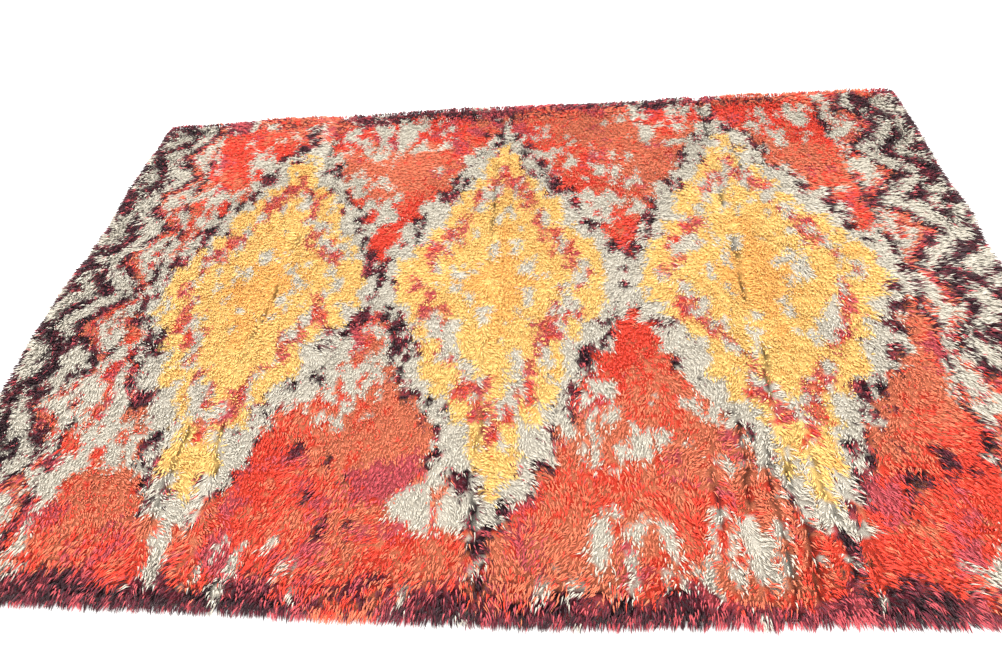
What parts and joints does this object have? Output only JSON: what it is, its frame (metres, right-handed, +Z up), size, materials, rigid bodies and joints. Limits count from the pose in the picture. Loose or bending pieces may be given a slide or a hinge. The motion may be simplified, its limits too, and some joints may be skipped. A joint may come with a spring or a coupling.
{
  "type": "rya rug",
  "caption": "Long-pile knotted wool rug lying flat, with a lumpy shaggy top, shallow fold creases and drooping locks round its rim.",
  "frame": {"origin": "on the floor, under the middle of the rug's outline", "axes": "+X along the rug's length, +Y across its width towards its back edge, +Z up out of the pile"},
  "size_m": [3.0799, 2.082, 0.0527],
  "materials": {
    "wool_pile": "matte long wool pile, mixed warm colours",
    "ground_weave": "matte plain weave of undyed wool weft on linen warp",
    "plum_yarn": "matte two-ply wool yarn, dark plum",
    "wine_yarn": "matte two-ply wool yarn, wine red",
    "rose_yarn": "matte two-ply wool yarn, rose",
    "coral_yarn": "matte two-ply wool yarn, coral red",
    "orange_yarn": "matte two-ply wool yarn, orange",
    "amber_yarn": "matte two-ply wool yarn, amber",
    "yellow_yarn": "matte two-ply wool yarn, golden yellow",
    "cream_yarn": "matte two-ply wool yarn, greenish cream"
  },
  "bodies": {
    "root": {"rug": "wool_pile"}
  },
  "joints": []
}
